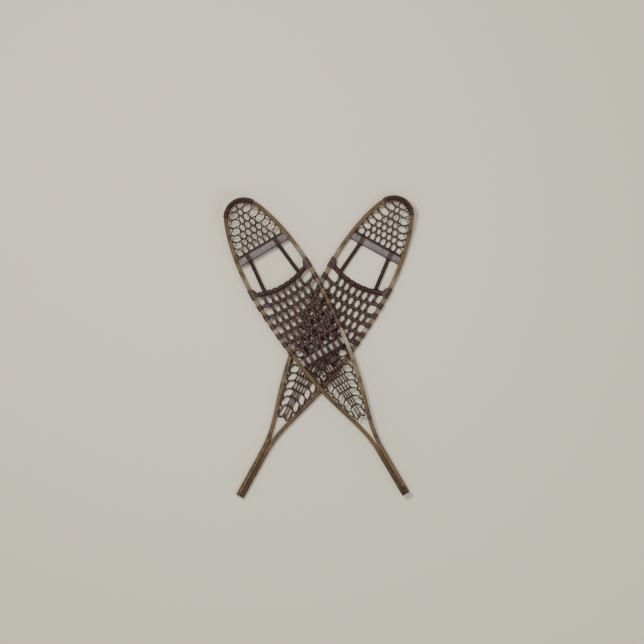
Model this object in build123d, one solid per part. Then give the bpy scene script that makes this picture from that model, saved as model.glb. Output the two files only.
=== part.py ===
"""A crossed pair of traditional bentwood snowshoes, laced with rawhide.

Each shoe is drawn in its own frame: the toe tip at the origin, the tail along -Y and Z up from the underside
of its rails. A station is a distance back from the toe tip. An inset is a distance in from the outer face of
the rail, square to it. The finished shoe is laid down twice, crossed, one on the other.
"""

import math
import os

from build123d import *

# Overall sizes and the crossing, in millimetres and degrees
LENGTH = 1219.0  # toe tip to tail end, 48 in
WIDTH = 244.0  # over the rails where they are widest
CROSSING_STATION = 615.0  # where the two centre lines cross
CROSSING_TURN = 29.6  # each shoe's turn from the line between the two
GAP = 0.3  # running clearance between neighbouring pieces

# The bent ash strip
RAIL_WIDTH = 15.0
RAIL_HEIGHT = 20.0
TAIL_LENGTH = 180.0  # the straight tail, where the two ends of the strip lie side by side
TAIL_SLIT = 0.4
TOE_RISE = 45.0
TURN_UP_STATION = 184.0  # the toe curves up ahead of this station
# the outer face of a rail between the toe and the tail: share of the length, share of the half width
RAIL_LINE = [
    (0.0146, 0.386),
    (0.0585, 0.646),
    (0.146, 0.880),
    (0.257, 1.0),
    (0.395, 0.950),
    (0.556, 0.766),
    (0.702, 0.412),
    (0.795, 0.172),
]

# The two crossbars, let into mortises in the rails
FRONT_BAR_STATION = 203.0
REAR_BAR_STATION = 629.0
BAR_WIDTH = 31.0
BAR_THICKNESS = 11.0
BAR_ROUNDING = 2.0
MORTISE_DEPTH = 9.0

# The copper rivets and burrs that close the tail
RIVET_STATIONS_FROM_TAIL = (22.0, 90.0, 158.0)
RIVET_RADIUS = 2.2
RIVET_CLEARANCE = 0.05
RIVET_HEAD_RADIUS = 5.0
RIVET_HEAD_HEIGHT = 1.8
BURR_RADIUS = 5.5
BURR_THICKNESS = 1.0
RIVET_PEEN_HEIGHT = 1.0
RIVET_SEAT_DEPTH = 1.8  # heads and burrs are let into the wood

# The rawhide: wraps round wood, the toe cord with its lanyards, and the selvage thongs
WRAP = 2.4  # how far a wrap stands off the wood
TOE_BINDING_END = 40.0  # the toe's binding runs back to this station
LASHING_STATION = 325.0
LASHING_WIDTH = 38.0
TOE_CORD_STATION = 351.0  # at its deepest, on the centre line
TOE_CORD_SAG = 25.0  # its ends lie this much further forward
TOE_CORD_RADIUS = 6.8
LANYARD_RADIUS = 6.3
LANYARD_FRONT_X = 58.0
LANYARD_REAR_X = 71.0
LANYARD_WRAP_WIDTH = 18.0
SELVAGE = 3.4  # thickness of the thong
SELVAGE_PITCH = 28.0  # between the holes that it is threaded through
SELVAGE_HOLE_RADIUS = 1.9

# The three nets: distance between rows, between cells, width and thickness of a strand, and room for the
# large cells beside the rails
TOE_NET = {"row": 24.5, "cell": 20.7, "strand": 3.4, "thick": 3.0, "border": 33.0}
FOOT_NET = {"row": 37.4, "cell": 23.5, "strand": 7.2, "thick": 5.0, "border": 12.0}
TAIL_NET = {"row": 28.2, "cell": 17.0, "strand": 3.6, "thick": 3.2, "border": 27.0}
FOOT_ROW_SAG = 25.0  # the first row lies beside the toe cord, and the rows behind it straighten out
TAIL_ROW_SAG = -9.0
TAIL_OPENING = 142.0  # the open wedge between the tail net and the place where the rails meet
SMALLEST_CELL = 30.0  # square millimetres

MIDDLE = RAIL_HEIGHT / 2
BEYOND = 60.0  # how far a cutting shape runs past what it cuts
THROAT = LENGTH - TAIL_LENGTH
TAIL_HALF = RAIL_WIDTH + TAIL_SLIT / 2
BAR_HALF = BAR_WIDTH / 2


# ---- drawing in plan ----


def curve(points, start, end):
    """A smooth curve through points, with its directions at the two ends."""
    return Spline(points, tangents=[start, end], tangent_scalars=[1, 1])


RAIL_POINTS = [(0, 0)] + [(w * WIDTH / 2, -s * LENGTH) for s, w in RAIL_LINE] + [(TAIL_HALF, -THROAT)]
RAIL_EDGE = curve(RAIL_POINTS, (1, 0), (0, -1))


def rail_point(share, inset):
    """A point of the right rail, at a share of its line from the toe, and the direction in, square to the rail."""
    along = RAIL_EDGE.tangent_at(share)
    inward = Vector(along.Y, -along.X)
    return RAIL_EDGE.position_at(share) + inward * inset, inward


def share_where(reached):
    """The share of the rail line at which a test first becomes true."""
    low, high = 0.0, 1.0
    for _ in range(40):
        middle = (low + high) / 2
        if reached(middle):
            high = middle
        else:
            low = middle
    return high


def at_station(station, inset):
    """The right rail's point and inward direction at a station, for one inset."""
    return rail_point(share_where(lambda share: rail_point(share, inset)[0].Y <= -station), inset)


def outline(inset):
    """The face inside the rail line at an inset, from the toe to where its two sides meet or the tail begins."""
    end = share_where(lambda share: share > 0.5 and rail_point(share, inset)[0].X <= TAIL_SLIT / 2)
    shares = [end * (i / 22) ** 1.3 for i in range(23)]
    points = [rail_point(share, inset)[0] for share in shares]
    along = RAIL_EDGE.tangent_at(end)
    right = curve(points, (1, 0), along)
    left = curve([(-point.X, point.Y) for point in points], (-1, 0), (-along.X, along.Y))
    return make_face([right, left, Line(left @ 1, right @ 1)])


def band(first_station, last_station):
    """A strip right across the shoe, between two stations."""
    return Pos(0, -(first_station + last_station) / 2) * Rectangle(2 * WIDTH, last_station - first_station)


def ring(face, inner):
    return face - inner


# ---- making solids ----


def sheet(low, high):
    """Everything between two heights above the rails' underside, flat behind and curved up at the toe."""
    radius = (TURN_UP_STATION**2 + TOE_RISE**2) / (2 * TOE_RISE)
    sweep = 40.0
    centre = (-TURN_UP_STATION, radius)
    under = CenterArc(centre, radius - low, -90, sweep)
    over = CenterArc(centre, radius - high, -90, sweep)
    back = -LENGTH - BEYOND
    side = make_face(
        [
            Line((back, low), under @ 0),
            under,
            Line(under @ 1, over @ 1),
            over,
            Line(over @ 0, (back, high)),
            Line((back, high), (back, low)),
        ]
    )
    return extrude(Plane.YZ * side, WIDTH, both=True)


def rise(station):
    """How far the toe has curved up at a station."""
    ahead = max(0.0, TURN_UP_STATION - station)
    radius = (TURN_UP_STATION**2 + TOE_RISE**2) / (2 * TOE_RISE)
    return radius - math.sqrt(radius**2 - ahead**2)


def solid_of(face, low, high):
    """A plan face as a solid between two heights above the rails' underside, following the toe up."""
    prism = extrude(Pos(0, 0, low - BEYOND) * face, 2 * BEYOND + high - low + TOE_RISE, dir=(0, 0, 1))
    return prism & sheet(low, high)


def rail_sleeve(first_station, last_station, frame):
    """A wrap round both rails between two stations."""
    plan = ring(outline(-WRAP), outline(RAIL_WIDTH + WRAP)) & band(first_station, last_station)
    return solid_of(plan, -WRAP, RAIL_HEIGHT + WRAP) - frame


def bar_box(station, length, grow=0.0):
    box = Box(length, BAR_WIDTH + 2 * grow, BAR_THICKNESS + 2 * grow)
    return Pos(0, -station, MIDDLE) * box


def bar_sleeve(station, x, width, bar):
    return Pos(x, 0, 0) * bar_box(station, width, WRAP) - bar


def one_side(shape, right):
    """The half of a shape right or left of the centre line."""
    half = Pos(WIDTH if right else -WIDTH, -LENGTH / 2, 0) * Box(2 * WIDTH, 2 * LENGTH, 2 * LENGTH)
    return shape & half


# ---- wood ----


def crossbar(station):
    half = at_station(station, RAIL_WIDTH)[0].X + MORTISE_DEPTH
    bar = bar_box(station, 2 * half)
    return fillet(bar.edges().filter_by(Axis.X), BAR_ROUNDING)


def bent_frame(bars, holes):
    tail = Pos(0, -(THROAT + LENGTH) / 2) * Rectangle(2 * TAIL_HALF, TAIL_LENGTH)
    slit = Pos(0, -LENGTH + TAIL_LENGTH / 2) * Rectangle(TAIL_SLIT, TAIL_LENGTH + 2)
    plan = outline(0) + tail - outline(RAIL_WIDTH) - slit
    strip = solid_of(plan, 0, RAIL_HEIGHT)
    return strip - bars - holes


# ---- the rivets at the tail ----


def rivet_disc(radius, height, x):
    """Short cylinders that lie along X from x, one at each rivet."""
    disc = Plane.YZ * Pos(0, MIDDLE) * extrude(Circle(radius), height)
    return [Pos(x, -LENGTH + back, 0) * disc for back in RIVET_STATIONS_FROM_TAIL]


def rivet_holes():
    return [
        *rivet_disc(RIVET_RADIUS + RIVET_CLEARANCE, 2 * TAIL_HALF, -TAIL_HALF),
        *rivet_disc(RIVET_HEAD_RADIUS + RIVET_CLEARANCE, RIVET_SEAT_DEPTH, -TAIL_HALF),
        *rivet_disc(BURR_RADIUS + RIVET_CLEARANCE, RIVET_SEAT_DEPTH, TAIL_HALF - RIVET_SEAT_DEPTH),
    ]


def tail_rivets():
    """A rivet's head bears on its seat in the left rail, and its peened end on the burr."""
    seat = TAIL_HALF - RIVET_SEAT_DEPTH
    shanks = rivet_disc(RIVET_RADIUS, 2 * seat + BURR_THICKNESS + RIVET_PEEN_HEIGHT, -seat)
    heads = rivet_disc(RIVET_HEAD_RADIUS, RIVET_HEAD_HEIGHT, -seat - RIVET_HEAD_HEIGHT)
    peens = rivet_disc(RIVET_RADIUS * 1.5, RIVET_PEEN_HEIGHT, seat + BURR_THICKNESS)
    domes = [fillet(h.edges().group_by(Axis.X)[0], RIVET_HEAD_HEIGHT * 0.6) for h in heads]
    return [shank + dome + peen for shank, dome, peen in zip(shanks, domes, peens)]


def tail_burrs():
    seat = TAIL_HALF - RIVET_SEAT_DEPTH
    discs = rivet_disc(BURR_RADIUS, BURR_THICKNESS, seat)
    bores = rivet_disc(RIVET_RADIUS + RIVET_CLEARANCE, BURR_THICKNESS, seat)
    return [disc - bore for disc, bore in zip(discs, bores)]


# ---- the toe cord and its lanyards ----


def toe_cord_centre():
    """The centre and radius of the cord's arc in plan."""
    half_span = at_station(LASHING_STATION, RAIL_WIDTH)[0].X
    radius = (half_span**2 + TOE_CORD_SAG**2) / (2 * TOE_CORD_SAG)
    return Vector(0, radius - TOE_CORD_STATION), radius


def toe_cord_tube(radius):
    centre, arc_radius = toe_cord_centre()
    tube = Torus(arc_radius, radius)
    behind = Pos(0, -LENGTH) * Box(2 * WIDTH, 2 * LENGTH - 2 * FRONT_BAR_STATION, 4 * radius)
    return Pos(centre.X, centre.Y, MIDDLE) * tube & Pos(0, 0, MIDDLE) * behind


def toe_cord():
    return toe_cord_tube(TOE_CORD_RADIUS) & solid_of(outline(RAIL_WIDTH + WRAP + GAP), -WRAP, RAIL_HEIGHT)


def lanyard(side, bar):
    """A twisted cord from a wrap round the front crossbar back to the toe cord."""
    wrap = bar_sleeve(FRONT_BAR_STATION, side * LANYARD_FRONT_X, LANYARD_WRAP_WIDTH, bar)
    centre, radius = toe_cord_centre()
    start = Vector(side * LANYARD_FRONT_X, -FRONT_BAR_STATION - BAR_HALF, MIDDLE)
    end_x = side * LANYARD_REAR_X
    end = Vector(end_x, centre.Y - math.sqrt(radius**2 - end_x**2), MIDDLE)
    cord = Plane(start, z_dir=end - start) * extrude(Circle(LANYARD_RADIUS), (end - start).length)
    return wrap + (cord - bar) - toe_cord_tube(TOE_CORD_RADIUS + GAP)


# ---- the nets ----


def sagging(station, sag, half):
    """A row that lies back at the centre line by sag, or forward if sag is negative."""
    return lambda x: -(station - sag * (x / half) ** 2)


def toe_rows(first, last):
    count = max(2, round((last - first) / TOE_NET["row"]))
    return [sagging(first + (last - first) * i / count, 0, 1) for i in range(count + 1)]


def foot_rows(first, last):
    count = max(2, round((last - first) / FOOT_NET["row"]))
    half = at_station(LASHING_STATION, RAIL_WIDTH)[0].X
    return [
        sagging(first + (last - first) * i / count, FOOT_ROW_SAG * (1 - i / count) ** 3, half)
        for i in range(count + 1)
    ]


def tail_rows(first, last):
    count = max(2, round((last - first) / TAIL_NET["row"]))
    half = at_station(first, RAIL_WIDTH)[0].X
    return [sagging(first + (last - first) * i / count, TAIL_ROW_SAG * (i > 0), half) for i in range(count + 1)]


def cell(x, half_flat, half_middle, before, behind, strand):
    """A six-sided opening centred on x between two rows, with half a strand taken off every side."""
    half = strand / 2
    corners = []
    for side, row in ((1, before), (-1, behind)):
        for left in (-1, 1):
            corner_x = x + left * side * half_flat
            corners.append((corner_x, row(corner_x) - side * half))
        corners.append((x + side * half_middle, (before(x) + behind(x)) / 2))
    return make_face(Polyline(corners, close=True))


def netting(window_less, rows, net):
    """A net of six-sided cells in a window, every second row half a cell over, with large cells at its border.

    window_less gives the window's face with a margin taken off all round.
    """
    pitch, strand = net["cell"], net["strand"]
    window, inner = window_less(0), window_less(strand)
    lean = strand / 2 * math.hypot(1, pitch / 2 / net["row"])
    openings = []
    for number, (before, behind) in enumerate(zip(rows, rows[1:])):
        station = -(before(0) + behind(0)) / 2
        room = at_station(station, RAIL_WIDTH)[0].X
        count = max(0, int(2 * (room - net["border"]) / pitch))
        if (count - number) % 2:
            count -= 1
        count = max(count, number % 2)
        for i in range(count):
            x = (i - (count - 1) / 2) * pitch
            openings.append(cell(x, pitch / 4 - lean / 2, pitch / 2 - lean, before, behind, strand) & inner)
        for side in (-1, 1):
            x = side * (count * pitch / 2 + lean + WIDTH / 2)
            openings.append(cell(x, WIDTH / 2, WIDTH / 2, before, behind, strand) & inner)
    holes = [face for opening in openings for face in opening.faces() if face.area > SMALLEST_CELL]
    return Face(window.face().outer_wire(), [face.outer_wire() for face in holes])


def threaded(first_station, last_station, radius, outer, inner):
    """Where the thong passes through the rails: evenly spaced cylinders square to them, from one inset to another."""
    count = max(2, round((last_station - first_station) / SELVAGE_PITCH))
    pitch = (last_station - first_station) / count
    cylinders = []
    for i in range(count):
        station = first_station + (i + 0.5) * pitch
        face, inward = at_station(station, 0)
        start = face + inward * outer
        plane = Plane((start.X, start.Y, MIDDLE + rise(station)), z_dir=inward)
        cylinder = plane * extrude(Circle(radius), inner - outer)
        cylinders += [cylinder, mirror(cylinder, about=Plane.YZ)]
    return cylinders


def net_and_selvage(first_station, last_station, pegs_from, pegs_to, rows_between, net):
    """A net inside its perimeter thong, and the holes for the thong in the rails."""
    thong_inset = RAIL_WIDTH + WRAP + GAP
    rim = SELVAGE + GAP
    outer = outline(thong_inset) & band(first_station, last_station)
    inner = outline(thong_inset + SELVAGE) & band(first_station + SELVAGE, last_station - SELVAGE)

    def window_less(margin):
        edge = rim + margin
        return outline(thong_inset + edge) & band(first_station + edge, last_station - edge)

    rows = rows_between(first_station + rim, last_station - rim)
    half_net = net["thick"] / 2
    lacing = solid_of(netting(window_less, rows, net), MIDDLE - half_net, MIDDLE + half_net)
    thong = solid_of(outer - inner, MIDDLE - SELVAGE / 2, MIDDLE + SELVAGE / 2)
    pegs = threaded(pegs_from, pegs_to, SELVAGE / 2, 0, thong_inset + SELVAGE / 2)
    holes = threaded(pegs_from, pegs_to, SELVAGE_HOLE_RADIUS, -WRAP, RAIL_WIDTH + WRAP)
    return lacing, thong + pegs, holes


def foot_lacing():
    first = TOE_CORD_STATION + TOE_CORD_RADIUS + GAP
    last = REAR_BAR_STATION - BAR_HALF - WRAP - GAP
    centre, radius = toe_cord_centre()

    def window_less(margin):
        side = outline(RAIL_WIDTH + WRAP + GAP + margin) & band(FRONT_BAR_STATION, last - margin)
        return side - Pos(centre.X, centre.Y) * Circle(radius + TOE_CORD_RADIUS + GAP + margin)

    half_net = FOOT_NET["thick"] / 2
    return solid_of(netting(window_less, foot_rows(first, last), FOOT_NET), MIDDLE - half_net, MIDDLE + half_net)


# ---- one shoe ----


def rail_wraps(frame):
    """The foot lacing's turns round the rails, at the end of each of its rows."""
    first = TOE_CORD_STATION + TOE_CORD_RADIUS + GAP
    last = REAR_BAR_STATION - BAR_HALF - WRAP - GAP
    rows = foot_rows(first, last)[1:-1]
    half_wrap = FOOT_NET["strand"] * 1.35
    stations = [-row(at_station(-row(0), RAIL_WIDTH)[0].X) for row in rows]
    return [rail_sleeve(station - half_wrap, station + half_wrap, frame) for station in stations]


def rear_bar_wraps(bar):
    room = at_station(REAR_BAR_STATION, RAIL_WIDTH)[0].X - FOOT_NET["strand"] * 2
    each_side = int(room / FOOT_NET["cell"])
    width = FOOT_NET["strand"] * 1.4
    places = [i * FOOT_NET["cell"] for i in range(-each_side, each_side + 1)]
    return [bar_sleeve(REAR_BAR_STATION, x, width, bar) for x in places]


def shoe():
    """Every piece of one shoe by name, each a list of solids."""
    front_bar = crossbar(FRONT_BAR_STATION)
    rear_bar = crossbar(REAR_BAR_STATION)

    toe_end = FRONT_BAR_STATION - BAR_HALF - WRAP - GAP
    toe_start = RAIL_WIDTH + WRAP + GAP
    toe_lacing, toe_selvage, toe_holes = net_and_selvage(
        toe_start, toe_end, TOE_BINDING_END, toe_end, toe_rows, TOE_NET
    )
    tail_start = REAR_BAR_STATION + BAR_HALF + WRAP + GAP
    tail_end = THROAT - TAIL_OPENING
    tail_lacing, tail_selvage, tail_holes = net_and_selvage(
        tail_start, tail_end, tail_start, tail_end, tail_rows, TAIL_NET
    )

    frame = bent_frame([front_bar, rear_bar], toe_holes + tail_holes + rivet_holes())
    binding = rail_sleeve(-WRAP - BEYOND, TOE_BINDING_END, frame)
    half_lashing = LASHING_WIDTH / 2
    lashings = rail_sleeve(LASHING_STATION - half_lashing, LASHING_STATION + half_lashing, frame)
    wraps = rail_wraps(frame)
    return {
        "bent_frame": frame,
        "front_crossbar": front_bar,
        "rear_crossbar": rear_bar,
        "tail_rivets": tail_rivets(),
        "tail_burrs": tail_burrs(),
        "toe_binding": binding,
        "toe_selvage": toe_selvage,
        "toe_lacing": toe_lacing,
        "left_lanyard": lanyard(-1, front_bar),
        "right_lanyard": lanyard(1, front_bar),
        "toe_cord": toe_cord(),
        "left_cord_lashing": one_side(lashings, False),
        "right_cord_lashing": one_side(lashings, True),
        "foot_lacing": foot_lacing(),
        "left_rail_wraps": [one_side(wrap, False) for wrap in wraps],
        "right_rail_wraps": [one_side(wrap, True) for wrap in wraps],
        "rear_bar_wraps": rear_bar_wraps(rear_bar),
        "tail_lacing": tail_lacing,
        "tail_selvage": tail_selvage,
    }


def solids(piece):
    """The solids of a shape or of a list of shapes."""
    shapes = piece if isinstance(piece, list) else [piece]
    return [solid for shape in shapes for solid in shape.solids()]


# ---- the pair ----


def pair():
    """Both shoes' pieces by node name, crossed, standing on Z = 0 with the origin in the middle of their box."""
    pieces = shoe()
    lower_height = WRAP
    upper_height = lower_height + RAIL_HEIGHT + 2 * WRAP + GAP
    placed = {}
    for name, turn, height in (("lower", -CROSSING_TURN, lower_height), ("upper", CROSSING_TURN, upper_height)):
        place = Rot(0, 0, turn) * Pos(0, CROSSING_STATION, height)
        for piece, shape in pieces.items():
            placed[f"{name}_{piece}"] = Compound([solid.moved(place) for solid in solids(shape)])
    boxes = [shape.bounding_box() for shape in placed.values()]
    middle = (min(box.min.Y for box in boxes) + max(box.max.Y for box in boxes)) / 2
    return {name: shape.moved(Pos(0, -middle, 0)) for name, shape in placed.items()}


os.makedirs("parts", exist_ok=True)
for node, shape in pair().items():
    export_step(shape, f"parts/{node}.step")
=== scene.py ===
import math

import bpy
import numpy as np
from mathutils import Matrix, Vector


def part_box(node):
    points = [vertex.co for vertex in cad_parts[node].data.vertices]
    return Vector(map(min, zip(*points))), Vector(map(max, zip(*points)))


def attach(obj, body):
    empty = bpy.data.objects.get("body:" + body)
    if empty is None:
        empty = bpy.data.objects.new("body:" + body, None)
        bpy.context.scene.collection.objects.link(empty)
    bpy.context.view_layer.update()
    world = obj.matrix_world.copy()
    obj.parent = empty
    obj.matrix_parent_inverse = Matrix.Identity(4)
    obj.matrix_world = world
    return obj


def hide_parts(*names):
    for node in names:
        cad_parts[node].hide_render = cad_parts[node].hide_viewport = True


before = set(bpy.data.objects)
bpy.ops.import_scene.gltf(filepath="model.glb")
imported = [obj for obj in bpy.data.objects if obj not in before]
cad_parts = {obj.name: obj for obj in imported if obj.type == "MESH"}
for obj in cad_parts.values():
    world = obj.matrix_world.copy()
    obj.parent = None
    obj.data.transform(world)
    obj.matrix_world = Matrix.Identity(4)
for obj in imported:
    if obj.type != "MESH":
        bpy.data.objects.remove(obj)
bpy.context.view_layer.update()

# ---- sizes of one shoe, in metres: a station is a distance back from the toe tip ----

LENGTH = 1.219
WIDTH = 0.244
RAIL_WIDTH = 0.015
RAIL_HEIGHT = 0.020
MIDDLE = RAIL_HEIGHT / 2
TAIL_LENGTH = 0.180
TAIL_SLIT = 0.0004
THROAT = LENGTH - TAIL_LENGTH
TOE_RISE = 0.045
TURN_UP_STATION = 0.184
RAIL_LINE = [
    (0.0146, 0.386),
    (0.0585, 0.646),
    (0.146, 0.880),
    (0.257, 1.0),
    (0.395, 0.950),
    (0.556, 0.766),
    (0.702, 0.412),
    (0.795, 0.172),
]
FRONT_BAR = 0.203
REAR_BAR = 0.629
BAR_WIDTH = 0.031
BAR_THICKNESS = 0.011
MORTISE = 0.009
WRAP = 0.0024
LASHING = 0.325
CORD_MIDDLE = 0.353
CORD_SAG = 0.025
TAIL_OPENING = 0.130
WRAP_STATIONS = (0.3780, 0.4211, 0.4617, 0.5005, 0.5379, 0.5745)
CLEARANCE = 0.0003
CORD_RADIUS = 0.0067
# how far the middles of turns and thongs stand off the wood, and how far turns are apart
TURN_LIFT = 0.0012
THONG_LIFT = 0.0019
TURN_PITCH = 0.0066
LASHING_PITCH = 0.0056
BINDING_PITCH = 0.0058
BINDING_END = 0.0385


# ---- the shoe's outline ----


def smooth(points, start, end, steps=60):
    """A clamped smooth curve through points, as many close points."""
    p = np.array(points, float)
    h = np.linalg.norm(np.diff(p, axis=0), axis=1)
    n = len(p)
    a = np.zeros((n, n))
    b = np.zeros((n, p.shape[1]))
    a[0, 0] = a[-1, -1] = 1
    b[0], b[-1] = start, end
    for i in range(1, n - 1):
        a[i, i - 1], a[i, i], a[i, i + 1] = h[i], 2 * (h[i - 1] + h[i]), h[i - 1]
        b[i] = 3 * (h[i] / h[i - 1] * (p[i] - p[i - 1]) + h[i - 1] / h[i] * (p[i + 1] - p[i]))
    m = np.linalg.solve(a, b)
    out = []
    for i in range(n - 1):
        t = np.linspace(0, 1, steps, endpoint=i == n - 2)[:, None]
        out.append(
            (2 * t**3 - 3 * t**2 + 1) * p[i]
            + (t**3 - 2 * t**2 + t) * h[i] * m[i]
            + (3 * t**2 - 2 * t**3) * p[i + 1]
            + (t**3 - t**2) * h[i] * m[i + 1]
        )
    return np.vstack(out)


def directions(line):
    """Unit directions along a line of points."""
    d = np.gradient(line, axis=0)
    return d / np.linalg.norm(d, axis=1)[:, None]


# the right rail's outer face, as (x, station), and the direction in from it
FACE = smooth(
    [(0, 0)] + [(w * WIDTH / 2, s * LENGTH) for s, w in RAIL_LINE] + [(RAIL_WIDTH + TAIL_SLIT / 2, THROAT)],
    (1, 0),
    (0, 1),
)
ALONG = directions(FACE)
INWARD = np.stack([-ALONG[:, 1], ALONG[:, 0]], axis=1)


def inset_line(inset):
    """The rail's outer face moved in by an inset."""
    return FACE + INWARD * inset


def room(station, inset=RAIL_WIDTH):
    """How far from the centre line the rail is at a station, at an inset from its outer face."""
    line = inset_line(inset)
    line = line[line[:, 0] > -0.001]
    order = np.argsort(line[:, 1])
    return float(np.interp(station, line[order, 1], line[order, 0]))


def raised(points):
    """Flat (x, station, height) points moved up to follow the turned-up toe."""
    p = np.array(points, float)
    radius = (TURN_UP_STATION**2 + TOE_RISE**2) / (2 * TOE_RISE)
    ahead = np.clip(TURN_UP_STATION - p[..., 1], 0, None)
    lifted = radius - np.sqrt((radius - p[..., 2]) ** 2 - ahead**2)
    p[..., 2] = np.where(ahead > 0, lifted, p[..., 2])
    return p


class Shoe:
    """Where one shoe lies, read from its two crossbars."""

    def __init__(self, name):
        self.name = name
        self.body = name + "_shoe"
        # the pair was laced as mirror images, and its wear, darker patches, painted shade and painted highlights lie
        # mirrored too
        self.hand = 1 if name == "upper" else -1
        front = self.middle("front_crossbar")
        rear = self.middle("rear_crossbar")
        self.forward = (front - rear) / np.linalg.norm(front - rear)
        self.across = np.array([self.forward[1], -self.forward[0], 0])
        self.toe = front + self.forward * FRONT_BAR - np.array([0, 0, MIDDLE])

    def middle(self, node):
        low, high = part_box(f"{self.name}_{node}")
        return (np.array(low) + np.array(high)) / 2

    def place(self, points):
        """Flat (x, station, height) points of the shoe in the frame, the toe turned up."""
        p = raised(points)
        return self.toe + p[..., :1] * self.across - p[..., 1:2] * self.forward + p[..., 2:] * np.array([0, 0, 1])

    def turn(self, vectors):
        """Directions in (x, station, height) turned into the frame."""
        v = np.array(vectors, float)
        return v[..., :1] * self.across - v[..., 1:2] * self.forward + v[..., 2:] * np.array([0, 0, 1])


# ---- materials ----


def linear(hex_colour):
    """An sRGB hex colour as linear RGBA."""
    parts = [int(hex_colour[i : i + 2], 16) / 255 for i in (1, 3, 5)]
    return [c / 12.92 if c <= 0.04045 else ((c + 0.055) / 1.055) ** 2.4 for c in parts] + [1.0]


def node(tree, kind, inputs=None, stops=(), **settings):
    """Adds a node with its settings, its inputs set or linked, and a colour ramp's (place, hex colour) stops."""
    new = tree.nodes.new(kind)
    for key, value in settings.items():
        setattr(new, key, value)
    for key, value in (inputs or {}).items():
        if isinstance(value, bpy.types.NodeSocket):
            tree.links.new(value, new.inputs[key])
        else:
            new.inputs[key].default_value = value
    for i, (place, colour) in enumerate(stops):
        element = new.color_ramp.elements[i] if i < 2 else new.color_ramp.elements.new(place)
        element.position, element.color = place, linear(colour)
    return new


def maths(tree, operation, *values):
    """What a Math node makes of numbers or outputs."""
    return node(tree, "ShaderNodeMath", dict(enumerate(values)), operation=operation).outputs[0]


def material(name):
    """A new material, its node tree and its Principled BSDF."""
    made = bpy.data.materials.new(name)
    made.use_nodes = True
    tree = made.node_tree
    return made, tree, tree.nodes["Principled BSDF"]


def uneven(tree, scale, roughness=0.5):
    """Uneven tone over a whole piece, in patches about 1 / scale metres wide."""
    place = node(tree, "ShaderNodeTexCoord").outputs["Object"]
    noise = {"Vector": place, "Scale": scale, "Detail": 3.0, "Roughness": roughness}
    return node(tree, "ShaderNodeTexNoise", noise).outputs["Fac"]


def roughened(tree, shader, height, strength, distance):
    """Raises the surface by a height pattern."""
    bump = node(tree, "ShaderNodeBump", {"Height": height, "Strength": strength, "Distance": distance})
    tree.links.new(bump.outputs[0], shader.inputs["Normal"])


def coloured_where(tree, attribute, colour, under):
    """The colour under it, turned to another as far as a point attribute says."""
    share = node(tree, "ShaderNodeAttribute", attribute_name=attribute).outputs["Fac"]
    mix = node(tree, "ShaderNodeMix", {"Factor": share, 6: under, 7: linear(colour)}, data_type="RGBA")
    return mix.outputs[2]


def ash_figure(tree, ring_scale, pore_scale, distortion, tone, wood, pore_stops, pore_share, aged_stops):
    """The rings and pores of ash, and its colour: u runs along the wood and v round it, both in metres."""
    uv = node(tree, "ShaderNodeUVMap", uv_map="grain").outputs[0]
    rings_at = node(tree, "ShaderNodeMapping", {"Vector": uv, "Scale": (*ring_scale, 1)}).outputs[0]
    rings = node(
        tree, "ShaderNodeTexNoise", {"Vector": rings_at, "Scale": 1.0, "Detail": 4.0, "Distortion": distortion}
    ).outputs["Fac"]
    pores_at = node(tree, "ShaderNodeMapping", {"Vector": uv, "Scale": (*pore_scale, 1)}).outputs[0]
    pores = node(tree, "ShaderNodeTexNoise", {"Vector": pores_at, "Scale": 1.0, "Detail": 2.0}).outputs["Fac"]
    colour = node(tree, "ShaderNodeValToRGB", {"Fac": rings}, stops=wood).outputs["Color"]
    for pattern, stops, share in ((pores, pore_stops, pore_share), (tone, aged_stops, 0.8)):
        shade = node(tree, "ShaderNodeValToRGB", {"Fac": pattern}, stops=stops).outputs["Color"]
        mix = {"Factor": share, 6: colour, 7: shade}
        colour = node(tree, "ShaderNodeMix", mix, data_type="RGBA", blend_type="MULTIPLY").outputs[2]
    relief = maths(tree, "ADD", pores, rings)
    return rings, relief, colour


def steam_bent_ash():
    """White ash, steam bent, oiled long ago and weathered: long open grain, dull, grey where the finish has gone."""
    made, tree, shader = material("steam_bent_ash")
    tone = uneven(tree, 22.0, 0.6)
    # rings 1.6 mm apart, pores 0.3 mm by 12 mm
    rings, relief, colour = ash_figure(
        tree, (7, 600), (85, 3300), 0.4, tone,
        [(0.30, "#42301E"), (0.47, "#634C32"), (0.60, "#765E40"), (0.75, "#846C4D")],
        [(0.36, "#4E3D2E"), (0.48, "#FFFFFF")], 0.55,
        [(0.35, "#9A8C82"), (0.5, "#FFFFFF"), (0.7, "#D8CBBB")],
    )
    # the worn attribute says where the finish has gone and the wood has greyed
    worn = node(tree, "ShaderNodeAttribute", attribute_name="worn").outputs["Fac"]
    patch = maths(tree, "MULTIPLY", worn, tone)
    bare = node(tree, "ShaderNodeMapRange", {"Value": patch, "From Min": 0.12, "From Max": 0.5}).outputs[0]
    grey = node(tree, "ShaderNodeValToRGB", {"Fac": rings}, stops=[(0.3, "#6D5D46"), (0.6, "#918266")])
    weathered = node(tree, "ShaderNodeMix", {"Factor": bare, 6: colour, 7: grey.outputs["Color"]}, data_type="RGBA")
    # it turns silver where the wood has weathered pale and where a highlight is painted, and dark where there are
    # darker patches and where shade is painted
    silver = coloured_where(tree, "bleach_and_highlight", "#A5A596", weathered.outputs[2])
    tree.links.new(coloured_where(tree, "stain_and_shade", "#2A1F16", silver), shader.inputs["Base Color"])
    gloss = node(tree, "ShaderNodeMapRange", {"Value": rings, "To Min": 0.50, "To Max": 0.68})
    tree.links.new(gloss.outputs[0], shader.inputs["Roughness"])
    shader.inputs["Specular IOR Level"].default_value = 0.22
    roughened(tree, shader, relief, 0.35, 0.0004)
    return made


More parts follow.
